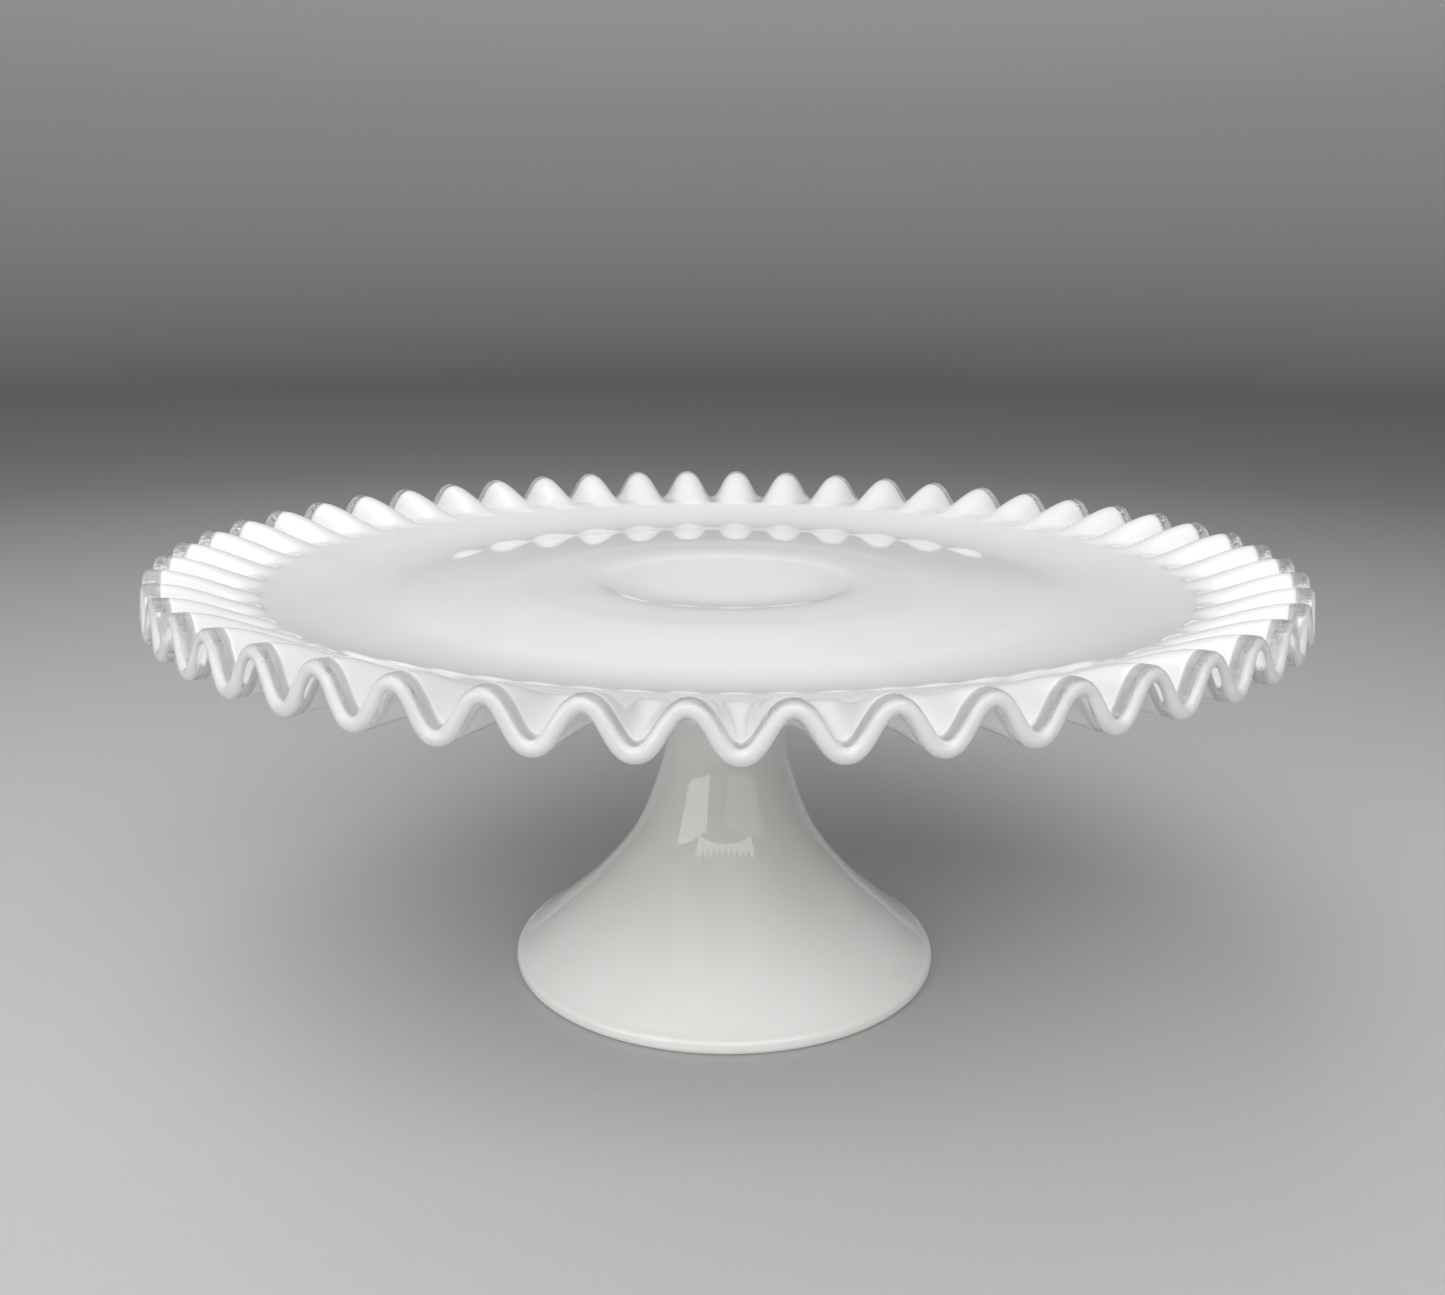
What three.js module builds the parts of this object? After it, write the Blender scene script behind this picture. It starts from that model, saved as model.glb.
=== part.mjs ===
// Footed cake stand of hand-crimped opal glass, in millimetres, +Z up.
// The origin is the centre of the foot's resting ring, on the table.
//
// Three pieces of glass make the stand. The white plate is held as two bodies, so that each stays simple:
//   plate         white opal glass: a low crown with the level cake seat round a shallow dimple
//   fluted_edge   the same white glass where it turns up in a cove and rises into fifty crimped flutes
// The other two pieces of glass are one body each:
//   crest_rim     the band of clear glass that carries the flutes out to a rounded edge
//   pedestal      a hollow trumpet of white opal glass, open underneath, with a rounded resting lip
import * as THREE from 'three';

// Overall sizes
const RIM_RADIUS = 165;
const CREST_LEVEL = 133.1;
const FOOT_RADIUS = 66.3;

// Plate: points of the upper face are [radius, level], from the cove in to the middle of the dimple
const PLATE_UNDERSIDE = 116.6;
const SEAT_LEVEL = 122.5;
const COVE_RADIUS = 120;
const PLATE_TOP = [
  [112, 121.2],
  [104, 120.8],
  [90, 121.4],
  [64, SEAT_LEVEL],
  [46, SEAT_LEVEL],
  [41, 122.3],
  [34, 121.5],
  [24, 120.9],
  [0, 120.6],
];
const SEAT_SEGMENTS = 150;

// Cove: radius, level underneath and level on top
const COVE_START = { radius: COVE_RADIUS, under: PLATE_UNDERSIDE, top: 121.9 };
const COVE_MIDDLE = { radius: 127, under: 116.8, top: 122.9 };
const FLUTE_START = { radius: 134.5, under: 118.5, top: 124.3 };

// Crimped edge
const CRIMPS = 50;
const STEPS_PER_CRIMP = 8;
const FIRST_CREST_DEGREES = 1.5;
const EDGE_GLASS = 3.5;
const TROUGH_UNDERSIDE = 119.9;
const CREST_PULL_IN = 1.1;
const RISE_SHARPNESS = 1.25;
const BEND_FULLNESS = 0.045;

// Hand work: the crests wander along the rim, in degrees, and differ in height, in millimetres
const CRIMP_DRIFTS = [
  { turns: 1, size: 0.67, lag: 11 },
  { turns: 2, size: 0.33, lag: -6 },
  { turns: 4, size: 0.25, lag: -58 },
];
const CREST_HEIGHTS = [
  { turns: 1, size: 0.23, lag: 89 },
  { turns: 3, size: 0.37, lag: -144 },
  { turns: 5, size: 0.24, lag: -16 },
];

// Where the white glass ends and the clear glass begins
const WHITE_GLASS_RADIUS = 160.2;
const FUSION_GAP = 0.3;

// Pedestal
const PEDESTAL_SEGMENTS = 60;
const PEDESTAL_GLASS = 4.2;
const LIP_HEIGHT = 4.8;
const LIP_ROUNDING = 1.9;
const RESTING_RING_WIDTH = 2.6;
const TRUMPET_OUTLINE = [
  [64.2, 5.0],
  [54.7, 13],
  [40.8, 26],
  [27.9, 43],
  [19.6, 65],
  [18.2, 80],
  [19.4, 100],
  [25.0, PLATE_UNDERSIDE - FUSION_GAP],
];
const TRUMPET_STEPS = 11;

const whiteGlass = () => new THREE.MeshStandardMaterial({ color: 0xf0f1ee, roughness: 0.14, metalness: 0 });
const clearGlass = () => new THREE.MeshStandardMaterial({
  color: 0xdfe6e8, roughness: 0.05, metalness: 0, transparent: true, opacity: 0.4,
});

// The fluted band runs from share 0, where the flutes begin, to share 1 at the rim.
const fluteShare = (radius) => THREE.MathUtils.clamp(
  (radius - FLUTE_START.radius) / (RIM_RADIUS - FLUTE_START.radius), 0, 1);

// Half the glass thickness, which tapers from the pressed plate to the drawn-out edge.
function halfThickness(radius) {
  const atStart = (FLUTE_START.top - FLUTE_START.under) / 2;
  return THREE.MathUtils.lerp(atStart, EDGE_GLASS / 2, fluteShare(radius));
}

// Sum of slow waves round the rim.
function handWork(waves, turn) {
  return waves.reduce(
    (sum, { turns, size, lag }) => sum + size * Math.sin(turns * turn - THREE.MathUtils.degToRad(lag)), 0);
}

function crimpAzimuth(turn) {
  return turn + THREE.MathUtils.degToRad(handWork(CRIMP_DRIFTS, turn) + FIRST_CREST_DEGREES);
}

// 1 on a crest and 0 in a trough. The bends are rounder, and the sides steeper, than in a plain wave.
function crimpWave(turn) {
  const wave = Math.cos(CRIMPS * turn) - BEND_FULLNESS * Math.cos(3 * CRIMPS * turn);
  return (1 + wave / (1 - BEND_FULLNESS)) / 2;
}

// Middle of the glass in the fluted band. The troughs run level and the crests climb out of the plate.
function fluteMiddle(radius, turn) {
  const share = fluteShare(radius);
  const crest = crimpWave(turn);
  const troughAtStart = (FLUTE_START.top + FLUTE_START.under) / 2;
  const troughAtRim = TROUGH_UNDERSIDE + EDGE_GLASS / 2;
  const trough = THREE.MathUtils.lerp(troughAtStart, troughAtRim, share);
  const crestHeight = CREST_LEVEL + handWork(CREST_HEIGHTS, turn) - EDGE_GLASS / 2 - troughAtRim;
  const rise = crestHeight * Math.sin(share * Math.PI / 2) ** RISE_SHARPNESS;
  const reach = radius - CREST_PULL_IN * crest * share * share;
  const azimuth = crimpAzimuth(turn);
  return new THREE.Vector3(reach * Math.cos(azimuth), reach * Math.sin(azimuth), trough + rise * crest);
}

// A point of the fluted glass: side is 1 on the upper face and -1 on the lower one, and outward is how far
// the rounded edge bulges past the radius, both in half thicknesses.
function flutePoint({ radius, side, outward = 0 }, turn) {
  const step = 0.01;
  const middle = fluteMiddle(radius, turn);
  const alongRadius = fluteMiddle(radius, turn).sub(fluteMiddle(radius - step, turn)).normalize();
  const alongRim = fluteMiddle(radius, turn + step / radius)
    .sub(fluteMiddle(radius, turn - step / radius)).normalize();
  const normal = alongRadius.clone().cross(alongRim).normalize();
  const outwards = alongRim.clone().cross(normal);
  return middle
    .addScaledVector(normal, side * halfThickness(radius))
    .addScaledVector(outwards, outward * halfThickness(radius));
}

// A point of a level ring.
function levelPoint({ radius, level }, turn) {
  const azimuth = crimpAzimuth(turn);
  return new THREE.Vector3(radius * Math.cos(azimuth), radius * Math.sin(azimuth), level);
}

// A lathed ring whose profile points are moved, one by one, onto the crimped glass.
function crimpedLathe(profile) {
  const outline = [...profile, profile[0]];
  const segments = CRIMPS * STEPS_PER_CRIMP;
  const geometry = new THREE.LatheGeometry(
    outline.map(({ radius, level = 0 }) => new THREE.Vector2(radius, level)), segments);
  const position = geometry.attributes.position;
  for (let segment = 0; segment <= segments; segment++) {
    const turn = 2 * Math.PI * (segment % segments) / segments;
    outline.forEach((spot, row) => {
      const point = 'side' in spot ? flutePoint(spot, turn) : levelPoint(spot, turn);
      position.setXYZ(segment * outline.length + row, point.x, point.y, point.z);
    });
  }
  geometry.computeVertexNormals();
  return geometry;
}

// The plate inside the cove: level underside, straight edge, then back over the crown to the dimple.
function plateGeometry() {
  const edge = COVE_RADIUS - FUSION_GAP / 2;
  const profile = [
    [0, PLATE_UNDERSIDE],
    [edge, COVE_START.under],
    [edge, COVE_START.top],
    ...PLATE_TOP,
  ];
  const geometry = new THREE.LatheGeometry(
    profile.map(([radius, level]) => new THREE.Vector2(radius, level)), SEAT_SEGMENTS);
  return geometry.rotateX(Math.PI / 2);
}

// The cove and the white flutes: out to the clear glass underneath, and then back on top.
function flutedEdgeGeometry() {
  const coveBands = [{ ...COVE_START, radius: COVE_RADIUS + FUSION_GAP / 2 }, COVE_MIDDLE, FLUTE_START];
  const fluteRadii = [142, 150, WHITE_GLASS_RADIUS];
  return crimpedLathe([
    ...coveBands.map(({ radius, under }) => ({ radius, level: under })),
    ...fluteRadii.map((radius) => ({ radius, side: -1 })),
    ...fluteRadii.map((radius) => ({ radius, side: 1 })).reverse(),
    ...coveBands.map(({ radius, top }) => ({ radius, level: top })).reverse(),
  ]);
}

// The clear band: from the white glass out to a half-round edge and back.
function crestRimGeometry() {
  const inner = WHITE_GLASS_RADIUS + FUSION_GAP;
  const edge = RIM_RADIUS - EDGE_GLASS / 2;
  const corner = Math.SQRT1_2;
  return crimpedLathe([
    { radius: inner, side: -1 },
    { radius: edge, side: -1 },
    { radius: edge, side: -corner, outward: corner },
    { radius: edge, side: 0, outward: 1 },
    { radius: edge, side: corner, outward: corner },
    { radius: edge, side: 1 },
    { radius: inner, side: 1 },
  ]);
}

// Quarter-round arc of the lip, as profile points from one angle to another.
function roundedCorner(centreRadius, centreLevel, rounding, fromDegrees, toDegrees, steps) {
  return Array.from({ length: steps + 1 }, (_, step) => {
    const angle = THREE.MathUtils.degToRad(THREE.MathUtils.lerp(fromDegrees, toDegrees, step / steps));
    const radius = centreRadius + rounding * Math.cos(angle);
    const level = centreLevel + rounding * Math.sin(angle);
    return new THREE.Vector2(radius, level);
  });
}

// The pedestal: resting ring, rounded lip, up the trumpet's outside to the joint, and down its inside.
function pedestalGeometry() {
  const knots = TRUMPET_OUTLINE.map(([radius, level]) => new THREE.Vector2(radius, level));
  const trumpet = new THREE.SplineCurve(knots);
  const outside = trumpet.getSpacedPoints(TRUMPET_STEPS);
  const inside = outside.map((point, index) => {
    const tangent = trumpet.getTangentAt(index / TRUMPET_STEPS);
    return new THREE.Vector2(point.x - PEDESTAL_GLASS * tangent.y, point.y + PEDESTAL_GLASS * tangent.x);
  });
  inside[inside.length - 1].y = outside[outside.length - 1].y;
  const lipCentre = FOOT_RADIUS - LIP_ROUNDING;
  const restingInner = lipCentre - RESTING_RING_WIDTH;
  const profile = [
    new THREE.Vector2(restingInner, 0),
    ...roundedCorner(lipCentre, LIP_ROUNDING, LIP_ROUNDING, -90, 0, 3),
    ...roundedCorner(lipCentre, LIP_HEIGHT - LIP_ROUNDING, LIP_ROUNDING, 0, 60, 2),
    ...outside,
    ...inside.reverse(),
  ];
  const geometry = new THREE.LatheGeometry([...profile, profile[0]], PEDESTAL_SEGMENTS);
  return geometry.rotateX(Math.PI / 2);
}

function addPiece(group, name, geometry, material) {
  const mesh = new THREE.Mesh(geometry, material);
  mesh.name = name;
  group.add(mesh);
}

const cakeStand = new THREE.Group();
addPiece(cakeStand, 'plate', plateGeometry(), whiteGlass());
addPiece(cakeStand, 'fluted_edge', flutedEdgeGeometry(), whiteGlass());
addPiece(cakeStand, 'crest_rim', crestRimGeometry(), clearGlass());
addPiece(cakeStand, 'pedestal', pedestalGeometry(), whiteGlass());

export default cakeStand;
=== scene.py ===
import math

import bpy
import numpy as np
from mathutils import Euler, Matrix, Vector


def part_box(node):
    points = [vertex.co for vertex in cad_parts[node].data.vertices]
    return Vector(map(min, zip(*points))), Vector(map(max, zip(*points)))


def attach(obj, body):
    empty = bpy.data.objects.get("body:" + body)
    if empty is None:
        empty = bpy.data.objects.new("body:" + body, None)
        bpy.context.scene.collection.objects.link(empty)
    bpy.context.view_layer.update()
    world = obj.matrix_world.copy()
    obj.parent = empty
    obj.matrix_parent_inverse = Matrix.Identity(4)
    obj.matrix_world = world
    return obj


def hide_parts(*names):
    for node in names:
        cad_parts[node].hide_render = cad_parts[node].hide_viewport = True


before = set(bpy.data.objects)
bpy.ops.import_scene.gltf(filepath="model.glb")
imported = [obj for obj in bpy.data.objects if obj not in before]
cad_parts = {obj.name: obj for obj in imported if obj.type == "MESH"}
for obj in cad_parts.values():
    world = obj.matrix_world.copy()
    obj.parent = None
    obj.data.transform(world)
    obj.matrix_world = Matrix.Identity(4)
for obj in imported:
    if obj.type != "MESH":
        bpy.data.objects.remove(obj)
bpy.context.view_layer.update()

MM = 0.001

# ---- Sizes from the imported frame, in metres ----
PLATE_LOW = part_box("plate")[0]
WHITE_LOW, WHITE_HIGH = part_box("fluted_edge")
RIM_LOW, RIM_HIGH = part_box("crest_rim")
FOOT_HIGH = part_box("pedestal")[1]

RIM_RADIUS = (RIM_HIGH.x - RIM_LOW.x) / 2
TROUGH_UNDERSIDE = RIM_LOW.z
WHITE_RADIUS = (WHITE_HIGH.x - WHITE_LOW.x) / 2
PLATE_UNDERSIDE = PLATE_LOW.z
FOOT_RADIUS = FOOT_HIGH.x

# ---- Sizes repeated from the CAD model ----
CRIMPS = 50
FIRST_CREST_DEGREES = 1.5
# Slow waves of the hand work, as (waves round the rim, size, lag in degrees). The crests drift along the rim,
# in degrees, and differ in height, in millimetres.
CRIMP_DRIFTS = [(1, 0.67, 11), (2, 0.33, -6), (4, 0.25, -58)]
CREST_HEIGHTS = [(1, 0.23, 89), (3, 0.37, -144), (5, 0.24, -16)]
BEND_FULLNESS = 0.045
EDGE_GLASS = 3.5 * MM
CREST_PULL_IN = 1.1 * MM
FLUTE_START_RADIUS = 134.5 * MM
FLUTE_START_UNDER = 118.5 * MM
FLUTE_START_TOP = 124.3 * MM

PEDESTAL_GLASS = 4.2 * MM
LIP_HEIGHT = 4.8 * MM
LIP_ROUNDING = 1.9 * MM
RESTING_RING_WIDTH = 2.6 * MM
JOINT_RADIUS = 25.0 * MM
# The outside of the trumpet, from the lip up, as (radius, level) in millimetres.
TRUMPET_OUTLINE = [(64.2, 5.0), (54.7, 13), (40.8, 26), (27.9, 43), (19.6, 65), (18.2, 80), (19.4, 100)]

# ---- Sizes of the fine surfaces ----
# The crests are 0.02 mm lower than in the CAD model, whose facets cut their tops off.
CREST_LEVEL = 133.08 * MM
RISE_SHARPNESS = 1.35
VALLEY_SWELL = 6 * MM
# The plate's faces inside the flutes, from the axis out, as (radius, level) in millimetres.
PLATE_TOP = [
    (0, 120.8), (14, 120.88), (26, 121.12), (35, 121.62), (37.7, 121.945), (40.5, 122.27), (46, 122.52),
    (56, 122.55), (66, 122.45), (90, 121.4), (98, 120.97), (104, 120.85), (112, 121.15), (120, 121.9),
    (127, 122.9), (134.5, 124.3),
]
PLATE_UNDER = [(0, 116.6), (60, 116.6), (112, 116.6), (120, 116.6), (127, 116.8), (134.5, 118.5)]
# The glass is fused, so the pedestal meets the plate with no gap.
JOINT_LEVEL = PLATE_UNDERSIDE
# How far the rounding of the lip turns in before it runs into the trumpet, in degrees.
LIP_TURN_IN = 62

# The white glass ends in a thin rounded tongue inside the clear band, and the clear band's inner end is
# buried in the white glass. The thinning keeps each inside the other's faces.
TONGUE_REACH = 1.2 * MM
TONGUE_THINNING = 0.9
TONGUE_ANGLES = [-60, -30, 0, 30, 60]
TONGUE_CORNER_DEGREES = 75
CLEAR_ROOT = 0.5 * MM
CLEAR_ROOT_THINNING = 0.96

# How finely the meshes are divided.
STEPS_PER_CRIMP = 20
AROUND = CRIMPS * STEPS_PER_CRIMP
TURNS = np.arange(AROUND) * 2 * math.pi / AROUND
WHITE_FLUTE_RINGS = 20
CLEAR_RINGS = 9
ROUND_EDGE_POINTS = 13
UNDER_STEPS = 4
TOP_STEPS = 5
TRUMPET_STEPS = 10
PEDESTAL_AROUND = 240
# How far apart the points lie that give the directions of the fluted surface.
PROBE = 0.01 * MM

# ---- Looks ----
GLASS_IOR = 1.5
# White glass: its colour away from the axis and near it, and the radii between which the one fades into the
# other. The plate is painted whitest over the pedestal, a painted glow, and greyer further out, painted
# shade;
# the pedestal is painted greyest at its neck, painted shade where the plate shades it.
PLATE_WHITE_AND_PAINTED_GLOW = {"outer": (0.8, 0.805, 0.8), "inner": (1, 1, 0.985), "fade_from": 14 * MM, "fade_to": 38 * MM}
# The foot's grey towards the neck is painted shade, standing in for the shadow of the plate above.
FOOT_WHITE_AND_PAINTED_NECK_SHADE = {
    "outer": (0.98, 0.985, 0.95), "inner": (0.75, 0.755, 0.725), "fade_from": 22 * MM, "fade_to": 56 * MM,
}
# How far the cloudy wisps shift the white either way, as a share of the way from the one colour to the other.
WISP_SHIFT = 0.1
# Clear glass: how much light it lets through, and the radii between which it turns milky. The diffuse white
# mixed in towards the rounded edge is a painted highlight, and the clear part's small share of it is painted
# light.
CLEAR_TRANSMISSION = 0.9
EDGE_HIGHLIGHT_TRANSMISSION = 0.5
EDGE_HIGHLIGHT_FROM = 162.5 * MM
EDGE_HIGHLIGHT_TO = 164.3 * MM

# ---- Studio, in metres, degrees and watts ----
FLOOR_RADII = [0.02, 0.3, 0.6, 0.9, 1.2]
SWEEP_RADIUS = 0.9
SWEEP_ANGLES = (-80, 0)
SWEEP_POINTS = 14
WALL_LEVELS = [1.1, 1.3]
FLOOR_AROUND = 96
# The floor's grey, by distance from its middle as a share of FLOOR_REACH. The paler greys up the wall
# are painted light, making up for the light falling off there.
FLOOR_REACH = 2.5
FLOOR_GREYS = [
    (0.1, (0.5, 0.5, 0.5)),
    (0.3, (0.38, 0.38, 0.385)),
    (0.62, (0.15, 0.153, 0.158)),
    (0.82, (0.42, 0.42, 0.415)),
    (0.9, (0.62, 0.62, 0.61)),
]
WORLD_COLOUR = (0.9, 0.905, 0.9, 1)
WORLD_STRENGTH = 0.28
# Soft lights as (name, place, width, height, power). They all face LIGHT_AIM.
LIGHT_AIM = (0, 0, 0.1)
SOFT_LIGHTS = [
    ("overhead", (-0.45, 0.1, 1.5), 1.6, 1.2, 7.5),
    ("front_high", (0, -1.15, 1.3), 2.4, 1.3, 26),
    ("window_left", (-0.95, -0.89, 0.39), 0.9, 0.36, 2.8),
    ("window_right", (0.61, -1.15, 0.39), 1.25, 0.36, 1.2),
]
CAMERA_PLACE = (0, -420.3 * MM, 210 * MM)
CAMERA_DOWN = 14.57
CAMERA_TURN = 0.17
CAMERA_ROLL = 0.4
# The lens and the sensor's width, in millimetres, as Blender counts them.
CAMERA_LENS = 35.35
CAMERA_SENSOR = 36
CAMERA_NEAREST = 0.01


# ---- Meshes ----
def mesh_object(name, points, faces):
    """A smooth-shaded mesh object from arrays of points and faces."""
    mesh = bpy.data.meshes.new(name)
    mesh.from_pydata(points.tolist(), [], faces)
    mesh.polygons.foreach_set("use_smooth", [True] * len(mesh.polygons))
    mesh.update()
    piece = bpy.data.objects.new(name, mesh)
    bpy.context.scene.collection.objects.link(piece)
    return piece


def ring_faces(rings, around, closed=False):
    """Quads between neighbouring rings of points, each of `around` points."""
    faces = []
    last = rings if closed else rings - 1
    for ring in range(last):
        lower, upper = ring * around, (ring + 1) % rings * around
        for step in range(around):
            after = (step + 1) % around
            faces.append((lower + step, lower + after, upper + after, upper + step))
    return faces


def lathe_rings(profile, around):
    """A level ring of `around` points for each (radius, level) of a profile."""
    angle = np.arange(around) * 2 * math.pi / around
    return [np.stack([radius * np.cos(angle), radius * np.sin(angle), np.full_like(angle, level)], -1)
            for radius, level in profile]


def arc(centre_radius, centre_level, rounding, start, stop, points):
    """Part of a circle in a profile's plane, between two angles in degrees."""
    angles = np.radians(np.linspace(start, stop, points))
    return np.stack([centre_radius + rounding * np.cos(angles), centre_level + rounding * np.sin(angles)], -1)


def catmull_rom(knots, steps):
    """Points of a smooth curve through the knots, with so many steps from each knot to the next."""
    ends = np.concatenate([[2 * knots[0] - knots[1]], knots, [2 * knots[-1] - knots[-2]]])
    points = []
    for index in range(1, len(ends) - 2):
        before, start, stop, after = ends[index - 1:index + 3]
        for share in np.arange(steps) / steps:
            points.append(0.5 * (2 * start + (stop - before) * share
                                 + (2 * before - 5 * start + 4 * stop - after) * share ** 2
                                 + (3 * start - before - 3 * stop + after) * share ** 3))
    return np.array(points + [knots[-1]])


# ---- Fluted glass ----
def hand_work(waves, turn):
    """Sum of slow waves round the rim."""
    return sum(size * np.sin(turns * turn - math.radians(lag)) for turns, size, lag in waves)


def crimp_azimuth(turn):
    """Where each crimp lies round the rim: hand crimping wanders by up to about a degree."""
    return turn + np.radians(hand_work(CRIMP_DRIFTS, turn) + FIRST_CREST_DEGREES)


def crimp_wave(turn):
    """1 on a crest and 0 in a trough, with rounder bends and steeper sides than a plain wave."""
    wave = np.cos(CRIMPS * turn) - BEND_FULLNESS * np.cos(3 * CRIMPS * turn)
    return (1 + wave / (1 - BEND_FULLNESS)) / 2


def flute_share(radius):
    """0 where the flutes begin and 1 at the rim."""
    return np.clip((radius - FLUTE_START_RADIUS) / (RIM_RADIUS - FLUTE_START_RADIUS), 0, 1)


def half_thickness(radius):
    """Half the glass thickness, from the pressed plate to the drawn-out edge."""
    start = (FLUTE_START_TOP - FLUTE_START_UNDER) / 2
    return start + (EDGE_GLASS / 2 - start) * flute_share(radius)


def flute_middle(radius, turn):
    """Middle of the glass in the fluted band, as an array of points. The troughs swell a little where they
    leave the plate, and the crests climb out of it."""
    share = flute_share(radius)
    crest = crimp_wave(turn)
    trough_start = (FLUTE_START_TOP + FLUTE_START_UNDER) / 2
    trough_rim = TROUGH_UNDERSIDE + EDGE_GLASS / 2
    trough = trough_start + (trough_rim - trough_start) * share + VALLEY_SWELL * share * (1 - share) ** 6
    crest_height = CREST_LEVEL + hand_work(CREST_HEIGHTS, turn) * MM - EDGE_GLASS / 2 - trough_rim
    rise = crest_height * np.sin(share * math.pi / 2) ** RISE_SHARPNESS
    reach = radius - CREST_PULL_IN * crest * share * share
    azimuth = crimp_azimuth(turn)
    return np.stack([reach * np.cos(azimuth), reach * np.sin(azimuth), trough + rise * crest], -1)


def flute_ring(radius, side, outward=0, thinning=1):
    """One ring of the fluted glass. side is 1 on the upper face and -1 underneath, and outward bulges past
    the radius. Both count half thicknesses, which thinning makes smaller."""
    half = half_thickness(radius) * thinning
    middle = flute_middle(radius, TURNS)
    along_radius = middle - flute_middle(radius - PROBE, TURNS)
    along_rim = flute_middle(radius, TURNS + PROBE / radius) - flute_middle(radius, TURNS - PROBE / radius)
    along_radius /= np.linalg.norm(along_radius, axis=-1, keepdims=True)
    along_rim /= np.linalg.norm(along_rim, axis=-1, keepdims=True)
    normal = np.cross(along_radius, along_rim)
    normal /= np.linalg.norm(normal, axis=-1, keepdims=True)
    outwards = np.cross(along_rim, normal)
    return middle + normal * side * half + outwards * outward * half


def level_ring(radius, level):
    """One ring of the plate inside the flutes, with its points in line with the crimps."""
    azimuth = crimp_azimuth(TURNS)
    return np.stack([radius * np.cos(azimuth), radius * np.sin(azimuth), np.full_like(azimuth, level)], -1)


def make_plate():
    """The white plate: one closed body, from the middle of its underside round the rim to the dimple."""
    inner_under = catmull_rom(np.array(PLATE_UNDER) * MM, UNDER_STEPS)[1:]
    inner_top = catmull_rom(np.array(PLATE_TOP) * MM, TOP_STEPS)[1:]
    flute_radii = np.linspace(FLUTE_START_RADIUS, WHITE_RADIUS, WHITE_FLUTE_RINGS)[1:]
    under = [level_ring(radius, level) for radius, level in inner_under]
    under += [flute_ring(radius, -1) for radius in flute_radii]
    tongue = []
    for angle in np.radians(TONGUE_ANGLES):
        reach = WHITE_RADIUS + TONGUE_REACH * math.cos(angle)
        side = math.sin(angle) / math.sin(math.radians(TONGUE_CORNER_DEGREES))
        tongue.append(flute_ring(reach, side, thinning=TONGUE_THINNING))
    top = [flute_ring(radius, 1) for radius in flute_radii[::-1]]
    top += [level_ring(radius, level) for radius, level in inner_top[::-1]]
    rings = under + tongue + top
    poles = [[0, 0, PLATE_UNDERSIDE], [0, 0, PLATE_TOP[0][1] * MM]]
    points = np.concatenate(rings + [np.array(poles)])
    faces = ring_faces(len(rings), AROUND)
    low_pole, high_pole = len(points) - 2, len(points) - 1
    last = (len(rings) - 1) * AROUND
    for step in range(AROUND):
        after = (step + 1) % AROUND
        faces.append((low_pole, after, step))
        faces.append((high_pole, last + step, last + after))
    return mesh_object("plate_fine", points, faces)


def make_crest_rim():
    """The clear band: one closed body with a rounded edge, whose inner end is buried in the white glass."""
    root = WHITE_RADIUS - CLEAR_ROOT
    edge = RIM_RADIUS - EDGE_GLASS / 2
    radii = np.linspace(WHITE_RADIUS, edge, CLEAR_RINGS)
    rings = [flute_ring(root, -1, thinning=CLEAR_ROOT_THINNING)]
    rings += [flute_ring(radius, -1) for radius in radii]
    for angle in np.radians(np.linspace(-90, 90, ROUND_EDGE_POINTS)[1:-1]):
        rings.append(flute_ring(edge, math.sin(angle), math.cos(angle)))
    rings += [flute_ring(radius, 1) for radius in radii[::-1]]
    rings.append(flute_ring(root, 1, thinning=CLEAR_ROOT_THINNING))
    return mesh_object("crest_rim_fine", np.concatenate(rings), ring_faces(len(rings), AROUND, closed=True))


# ---- Pedestal ----
def make_pedestal():
    """The hollow trumpet: resting ring, rounded lip, up the outside to the joint, and down the inside."""
    knots = np.concatenate([np.array(TRUMPET_OUTLINE) * MM, [[JOINT_RADIUS, JOINT_LEVEL]]])
    outside = catmull_rom(knots, TRUMPET_STEPS)
    tangent = np.gradient(outside, axis=0)
    tangent /= np.linalg.norm(tangent, axis=1, keepdims=True)
    inside = outside + PEDESTAL_GLASS * np.stack([-tangent[:, 1], tangent[:, 0]], -1)
    inside[-1, 1] = JOINT_LEVEL
    inside = inside[inside[:, 1] <= JOINT_LEVEL]
    lip_centre = FOOT_RADIUS - LIP_ROUNDING
    profile = np.concatenate([
        [[lip_centre - RESTING_RING_WIDTH, 0]],
        arc(lip_centre, LIP_ROUNDING, LIP_ROUNDING, -90, 0, points=9),
        arc(lip_centre, LIP_HEIGHT - LIP_ROUNDING, LIP_ROUNDING, 0, LIP_TURN_IN, points=7),
        outside,
        inside[::-1],
    ])
    rings = lathe_rings(profile, PEDESTAL_AROUND)
    faces = ring_faces(len(rings), PEDESTAL_AROUND, closed=True)
    return mesh_object("pedestal_fine", np.concatenate(rings), faces)


# ---- Shader nodes ----
def new_material(name):
    """A node material: itself, its node tree, its principled shader and the object's own coordinates."""
    material = bpy.data.materials.new(name)
    material.use_nodes = True
    tree = material.node_tree
    coordinates = tree.nodes.new("ShaderNodeTexCoord").outputs["Object"]
    return material, tree, tree.nodes["Principled BSDF"], coordinates


def noise(tree, coordinates, scale, detail, roughness=0.5, distortion=0.0):
    """The value of a noise texture."""
    node = tree.nodes.new("ShaderNodeTexNoise")
    node.inputs["Scale"].default_value = scale
    node.inputs["Detail"].default_value = detail
    node.inputs["Roughness"].default_value = roughness
    node.inputs["Distortion"].default_value = distortion
    tree.links.new(coordinates, node.inputs["Vector"])
    return node.outputs["Fac"]


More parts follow.
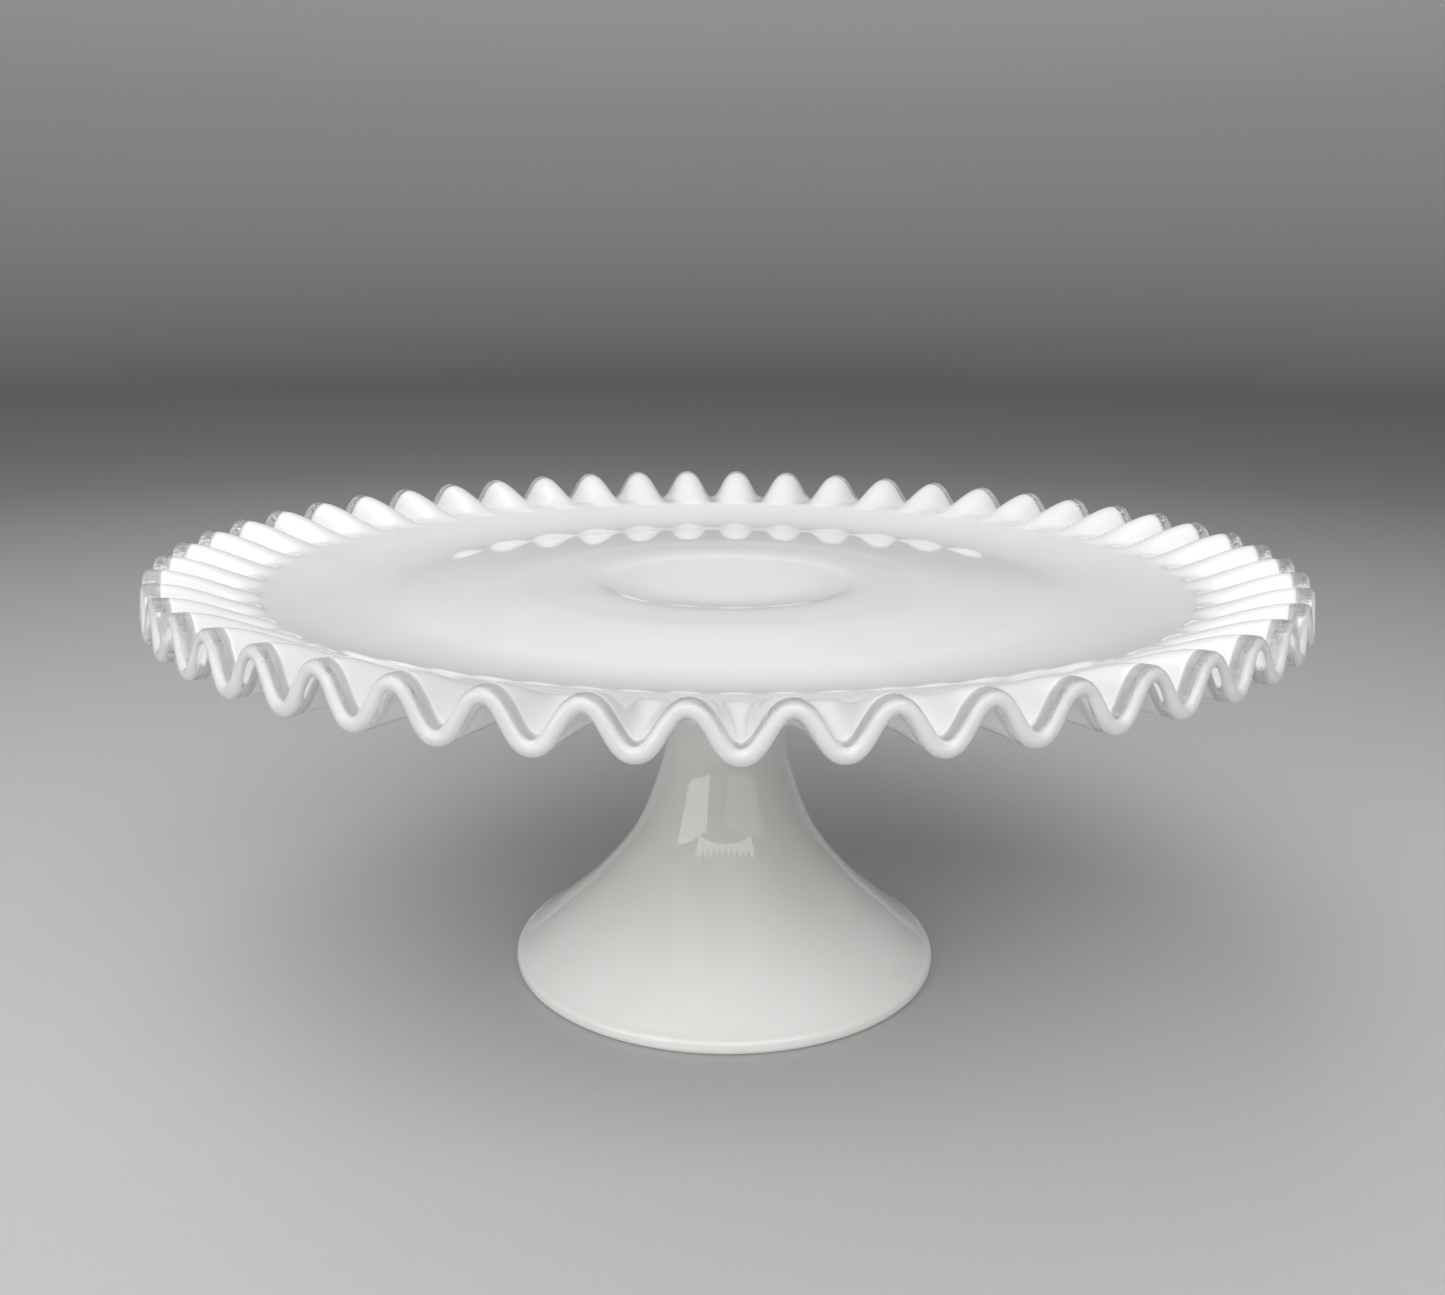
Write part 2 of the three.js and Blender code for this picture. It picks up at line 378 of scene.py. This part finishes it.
def ramp(tree, source, stops):
    """A colour ramp over a value, from (position, colour) stops."""
    node = tree.nodes.new("ShaderNodeValToRGB")
    elements = node.color_ramp.elements
    while len(elements) < len(stops):
        elements.new(0.5)
    for element, (position, colour) in zip(elements, stops):
        element.position = position
        element.color = (*colour, 1)
    tree.links.new(source, node.inputs["Fac"])
    return node.outputs["Color"]


def to_range(tree, source, old, new, interpolation="LINEAR"):
    """A value moved from the old range to the new one."""
    node = tree.nodes.new("ShaderNodeMapRange")
    node.interpolation_type = interpolation
    for name, value in zip(("From Min", "From Max", "To Min", "To Max"), (*old, *new)):
        node.inputs[name].default_value = value
    tree.links.new(source, node.inputs["Value"])
    return node.outputs["Result"]


def add(tree, first, second):
    """The sum of two values."""
    node = tree.nodes.new("ShaderNodeMath")
    node.operation = "ADD"
    tree.links.new(first, node.inputs[0])
    tree.links.new(second, node.inputs[1])
    return node.outputs["Value"]


def bump(tree, height, strength, distance):
    """Bump from a height, to a depth in metres."""
    node = tree.nodes.new("ShaderNodeBump")
    node.inputs["Strength"].default_value = strength
    node.inputs["Distance"].default_value = distance
    tree.links.new(height, node.inputs["Height"])
    return node.outputs["Normal"]


def vector_length(tree, vector):
    """The length of a vector, in metres."""
    node = tree.nodes.new("ShaderNodeVectorMath")
    node.operation = "LENGTH"
    tree.links.new(vector, node.inputs[0])
    return node.outputs["Value"]


def distance_from_axis(tree, coordinates):
    """How far a point lies from the stand's axis, in metres."""
    level = tree.nodes.new("ShaderNodeVectorMath")
    level.operation = "MULTIPLY"
    level.inputs[1].default_value = (1, 1, 0)
    tree.links.new(coordinates, level.inputs[0])
    return vector_length(tree, level.outputs["Vector"])


# ---- Materials ----
def opal_glass(name, outer, inner, fade_from, fade_to):
    """White opal glass: glossy, slightly translucent, with faint cloudy wisps and fire-polish ripples. Its
    colour is inner within the radius fade_from, and outer past the radius fade_to; this change is painted
    light."""
    material, tree, shader, coordinates = new_material(name)
    wisps = noise(tree, coordinates, scale=14, detail=5, roughness=0.55, distortion=1.2)
    streaks = to_range(tree, wisps, (0.35, 0.65), (-WISP_SHIFT, WISP_SHIFT))
    radius = distance_from_axis(tree, coordinates)
    # The colour's change with radius is painted light: a painted glow or painted shade.
    painted_light_share = to_range(tree, radius, (fade_from, fade_to), (1 - WISP_SHIFT, WISP_SHIFT), "SMOOTHSTEP")
    colour = ramp(tree, add(tree, painted_light_share, streaks), [(0, outer), (1, inner)])
    tree.links.new(colour, shader.inputs["Base Color"])
    haze = noise(tree, coordinates, scale=60, detail=4, roughness=0.6)
    tree.links.new(to_range(tree, haze, (0.3, 0.7), (0.02, 0.07)), shader.inputs["Roughness"])
    ripple = noise(tree, coordinates, scale=22, detail=2, roughness=0.4)
    tree.links.new(bump(tree, ripple, strength=0.35, distance=0.4 * MM), shader.inputs["Normal"])
    shader.inputs["IOR"].default_value = GLASS_IOR
    shader.inputs["Subsurface Weight"].default_value = 0.35
    shader.inputs["Subsurface Radius"].default_value = (4 * MM, 4.2 * MM, 4.6 * MM)
    shader.inputs["Subsurface Scale"].default_value = 1.0
    return material


def clear_glass():
    """Clear glass of the crest band, with fire-polish ripples. Towards its rounded edge it is painted milky,
    diffuse white standing in for a highlight.
    """
    material, tree, shader, coordinates = new_material("clear_glass")
    ripple = noise(tree, coordinates, scale=90, detail=2, roughness=0.4)
    tree.links.new(bump(tree, ripple, strength=0.25, distance=0.3 * MM), shader.inputs["Normal"])
    tint = noise(tree, coordinates, scale=30, detail=2)
    colour = ramp(tree, tint, [(0.3, (0.975, 0.985, 0.985)), (0.7, (1, 1, 1))])
    tree.links.new(colour, shader.inputs["Base Color"])
    shader.inputs["Roughness"].default_value = 0.01
    shader.inputs["IOR"].default_value = GLASS_IOR
    # Diffuse white mixed in towards the edge is a painted highlight.
    radius = distance_from_axis(tree, coordinates)
    transmission = to_range(tree, radius, (EDGE_HIGHLIGHT_FROM, EDGE_HIGHLIGHT_TO), (CLEAR_TRANSMISSION, EDGE_HIGHLIGHT_TRANSMISSION),
                            "SMOOTHSTEP")
    tree.links.new(transmission, shader.inputs["Transmission Weight"])
    return material


def floor_paper():
    """Matt grained paper: pale under the stand, dark where it turns up and painted pale again higher up, to
    make up for the light falling off there.
    """
    material, tree, shader, coordinates = new_material("floor_paper")
    reach = to_range(tree, vector_length(tree, coordinates), (0, FLOOR_REACH), (0, 1))
    tree.links.new(ramp(tree, reach, FLOOR_GREYS), shader.inputs["Base Color"])
    grain = noise(tree, coordinates, scale=260, detail=4, roughness=0.7)
    tree.links.new(bump(tree, grain, strength=0.3, distance=0.4 * MM), shader.inputs["Normal"])
    shader.inputs["Roughness"].default_value = 0.85
    return material


# ---- Studio ----
def make_floor():
    """A floor that sweeps up into a wall all round, far outside the object."""
    floor_edge = FLOOR_RADII[-1]
    profile = np.concatenate([
        [[radius, 0] for radius in FLOOR_RADII],
        arc(floor_edge, SWEEP_RADIUS, SWEEP_RADIUS, *SWEEP_ANGLES, SWEEP_POINTS),
        [[floor_edge + SWEEP_RADIUS, level] for level in WALL_LEVELS],
    ])
    rings = lathe_rings(profile, FLOOR_AROUND)
    middle = tuple(range(FLOOR_AROUND))
    faces = ring_faces(len(rings), FLOOR_AROUND) + [middle]
    floor = mesh_object("floor", np.concatenate(rings), faces)
    floor.data.materials.append(floor_paper())


def soft_box(name, place, width, height, power):
    """A rectangular soft light at a place, facing the stand."""
    light = bpy.data.lights.new(name, "AREA")
    light.shape = "RECTANGLE"
    light.size, light.size_y = width, height
    light.energy = power
    lamp = bpy.data.objects.new(name, light)
    lamp.location = place
    lamp.rotation_euler = (Vector(LIGHT_AIM) - Vector(place)).to_track_quat("-Z", "Y").to_euler()
    bpy.context.scene.collection.objects.link(lamp)


def make_studio():
    """The floor, a dim even surrounding light and the soft boxes."""
    make_floor()
    world = bpy.data.worlds.new("studio")
    world.use_nodes = True
    background = world.node_tree.nodes["Background"]
    background.inputs["Color"].default_value = WORLD_COLOUR
    background.inputs["Strength"].default_value = WORLD_STRENGTH
    bpy.context.scene.world = world
    bpy.context.scene.view_settings.view_transform = "Standard"
    for light in SOFT_LIGHTS:
        soft_box(*light)


def make_camera():
    """The camera stands in front of the stand, a little above the plate, and looks down at it."""
    data = bpy.data.cameras.new("camera")
    data.sensor_width = CAMERA_SENSOR
    data.lens = CAMERA_LENS
    data.clip_start = CAMERA_NEAREST
    camera = bpy.data.objects.new("camera", data)
    camera.location = CAMERA_PLACE
    look = Euler((math.radians(90 - CAMERA_DOWN), 0, math.radians(CAMERA_TURN)))
    roll = Euler((0, 0, math.radians(CAMERA_ROLL)))
    camera.rotation_euler = (look.to_matrix() @ roll.to_matrix()).to_euler()
    bpy.context.scene.collection.objects.link(camera)
    bpy.context.scene.camera = camera


def finish_piece(piece, material, slot, *nodes):
    """Gives a piece its material, and ties it to the frame in place of the CAD nodes."""
    piece.data.materials.append(material)
    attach(piece, "root")
    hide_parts(*nodes)


make_camera()
make_studio()
finish_piece(make_plate(), opal_glass("opal_glass", **PLATE_WHITE_AND_PAINTED_GLOW), "opal_glass", "plate", "fluted_edge")
finish_piece(make_crest_rim(), clear_glass(), "clear_glass", "crest_rim")
finish_piece(make_pedestal(), opal_glass("opal_glass_foot", **FOOT_WHITE_AND_PAINTED_NECK_SHADE), "opal_glass_foot", "pedestal")
